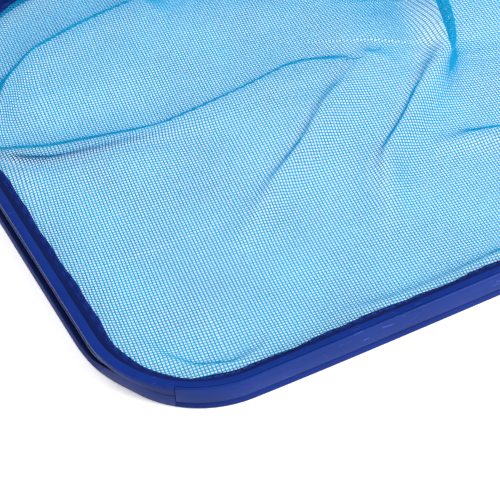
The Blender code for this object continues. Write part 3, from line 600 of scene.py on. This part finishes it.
# Flat straight threads, cut where they pass under the hem
def threadLines(along, across):
    reach, pitch = netSetup["halfSpan"], netSetup["pitch"]
    limit = rimShape["hemInset"] - netSetup["tuck"]
    middle = np.array([0.0, (frontY + rearY) / 2])
    ticks = np.arange(-reach, reach, netSetup["fine"])
    for number in range(-int(reach / pitch), int(reach / pitch) + 1):
        points = middle + across * number * pitch + along * ticks[:, None]
        inner = points[insetAt(points[:, 0], points[:, 1]) > limit]
        if len(inner) > netSetup["shortest"]:
            yield inner


# Leaves out the points that a path hardly needs
def thinned(path):
    kept, start = [0], 0
    while start < len(path) - 1:
        end = min(start + netSetup["longest"], len(path) - 1)
        while end > start + 1:
            chord = path[end] - path[start]
            gaps = path[start + 1:end] - path[start]
            along = np.clip(gaps @ chord / (chord @ chord), 0, 1)
            if np.linalg.norm(gaps - along[:, None] * chord, axis=1).max() < netSetup["slack"]:
                break
            end -= 1
        kept.append(end)
        start = end
    return path[kept]


def makeNet():
    turn = netSetup["turn"]
    along = np.array([-math.sin(turn), math.cos(turn)])
    across = np.array([math.cos(turn), math.sin(turn)])
    curve = bpy.data.curves.new("net", "CURVE")
    curve.dimensions = "3D"
    curve.bevel_depth, curve.bevel_resolution = netSetup["thread"] / 2, 0
    curve.use_fill_caps = True
    for run, side, raised in ((along, across, 1), (across, along, -1)):
        lines = list(threadLines(run, side))
        laid = layNet(np.concatenate(lines))
        laid[:, 2] += raised * netSetup["crossing"] * netSetup["thread"]
        start = 0
        for line in lines:
            path = thinned(laid[start:start + len(line)])
            start += len(line)
            spline = curve.splines.new("POLY")
            spline.points.add(len(path) - 1)
            spline.points.foreach_set("co", np.column_stack([path, np.ones(len(path))]).ravel())
    draft = bpy.data.objects.new("draft", curve)
    bpy.context.scene.collection.objects.link(draft)
    mesh = welded(settled(draft, "net_threads"))
    mesh.shade_smooth()
    print("net threads", len(curve.splines), "triangles",
          sum(len(face.vertices) - 2 for face in mesh.polygons))
    return addPiece("net_threads", mesh, threadBlue, "frame", ("net_bag",))


netPiece = makeNet()
print("net made")


# The hem

hemSetup = {
    "around": 720, "across": 5,     # steps
    "thick": 0.45 * mm,
    "wave": 0.8 * mm,           # its inner edge wanders by this much
    "outer": 4.9 * mm,          # its outer edge, hidden in the rim's pocket
    "droop": 0.25 * mm,         # its inner edge hangs by this much on average
    "sunk": 0.1 * mm,           # below the CAD tape's top
}


def hemWave(run):
    return hemSetup["wave"] * (0.6 * math.sin(run / 0.0093 + 1.1 * math.sin(run / 0.031))
                               + 0.4 * math.sin(run / 0.0041))


def makeHem():
    shape = bmesh.new()
    around, across = hemSetup["around"], hemSetup["across"]
    bmesh.ops.create_grid(shape, x_segments=around, y_segments=across, size=1)
    cloth = shape.loops.layers.uv.new("cloth")
    places = {}
    for vert in shape.verts:
        run = vert.co.x * halfOutline
        share = (vert.co.y + 1) / 2
        point, normal = outlineAt(max(-halfOutline, min(halfOutline, run)))
        inner = rimShape["hemInset"] + hemWave(run) * 0.8
        inset = hemSetup["outer"] + (inner - hemSetup["outer"]) * share
        droop = hemSetup["droop"] * share ** 2 * (1 + math.sin(run / 0.012))
        places[vert] = (Vector((*(point - normal * inset), hemHigh.z - hemSetup["sunk"] - droop)),
                        (run, inset))
    for face in shape.faces:
        for loop in face.loops:
            loop[cloth].uv = places[loop.vert][1]
    for vert, (place, _) in places.items():
        vert.co = place
    bmesh.ops.remove_doubles(shape, verts=shape.verts, dist=1e-5)
    bmesh.ops.recalc_face_normals(shape, faces=shape.faces)
    mesh = bpy.data.meshes.new("hem")
    shape.to_mesh(mesh)
    shape.free()
    draft = bpy.data.objects.new("draft", mesh)
    bpy.context.scene.collection.objects.link(draft)
    wall = draft.modifiers.new("wall", "SOLIDIFY")
    wall.thickness, wall.offset = hemSetup["thick"], -1
    mesh = settled(draft, "hem_binding")
    mesh.shade_smooth()
    return addPiece("hem_binding", mesh, hemNavy, "frame", ("hem_tape",))


hemPiece = makeHem()

stitchSetup = {
    "length": 2.2 * mm,
    "gap": 0.9 * mm,
    "thread": 0.28 * mm,
    "inset": 9.9 * mm,
    "sunk": 0.15 * mm,          # below the CAD tape's top
    "rise": 0.08 * mm,          # of a stitch's middle
    "dive": 0.12 * mm,          # of its ends, into the tape
}


def makeStitches():
    curve = bpy.data.curves.new("hem_stitches", "CURVE")
    curve.dimensions = "3D"
    curve.bevel_depth, curve.bevel_resolution = stitchSetup["thread"] / 2, 1
    curve.use_fill_caps = True
    pace = stitchSetup["length"] + stitchSetup["gap"]
    count = int(2 * halfOutline / pace)
    shares = (0, 0.15, 0.5, 0.85, 1)
    for number in range(count):
        start = -halfOutline + number * pace
        spline = curve.splines.new("POLY")
        spline.points.add(len(shares) - 1)
        for spot, share in zip(spline.points, shares):
            run = start + share * stitchSetup["length"]
            point, normal = outlineAt(run)
            drop = stitchSetup["dive"] if share in (0, 1) else -stitchSetup["rise"]
            place = point - normal * (stitchSetup["inset"] + hemWave(run) * 0.5)
            spot.co = (*place, hemHigh.z - stitchSetup["sunk"] - drop, 1)
    draft = bpy.data.objects.new("draft", curve)
    bpy.context.scene.collection.objects.link(draft)
    mesh = welded(settled(draft, "hem_stitches"))
    mesh.shade_smooth()
    return addPiece("hem_stitches", mesh, stitchBlue, "frame")


stitchPiece = makeStitches()
print("hem made")


# Rigid pieces keep their CAD shape with rounded edges

# How much the edges of each kind of piece are rounded
edgeRound = {"rim": 0.25 * mm, "yoke": 0.4 * mm, "plug": 0.3 * mm, "tube": 0.2 * mm}

softened("frame_rim", rimBlue, edgeRound["rim"])
softened("front_scoop_blade", bladeBlue, edgeRound["rim"])
for node in ("yoke_base", "yoke_cap", "pole_stop_collar", "brace_lug_left", "brace_lug_right"):
    softened(node, rimBlue, edgeRound["yoke"])
softened("spigot_end_plug", plugGrey, edgeRound["plug"])
for node in ("pole_spigot", "brace_rod_left", "brace_rod_right"):
    softened(node, aluminium, edgeRound["tube"])
print("rigid pieces finished")


def dress(node, finish):
    nodes[node].data.materials.clear()
    nodes[node].data.materials.append(finish)


steelNodes = [entry["node"] for entry in frame["record"]["subparts"]
              if entry["material_slot"] == "stainless_steel"]
for node in steelNodes:
    dress(node, steel)
dress("hem_cord", hemNavy)
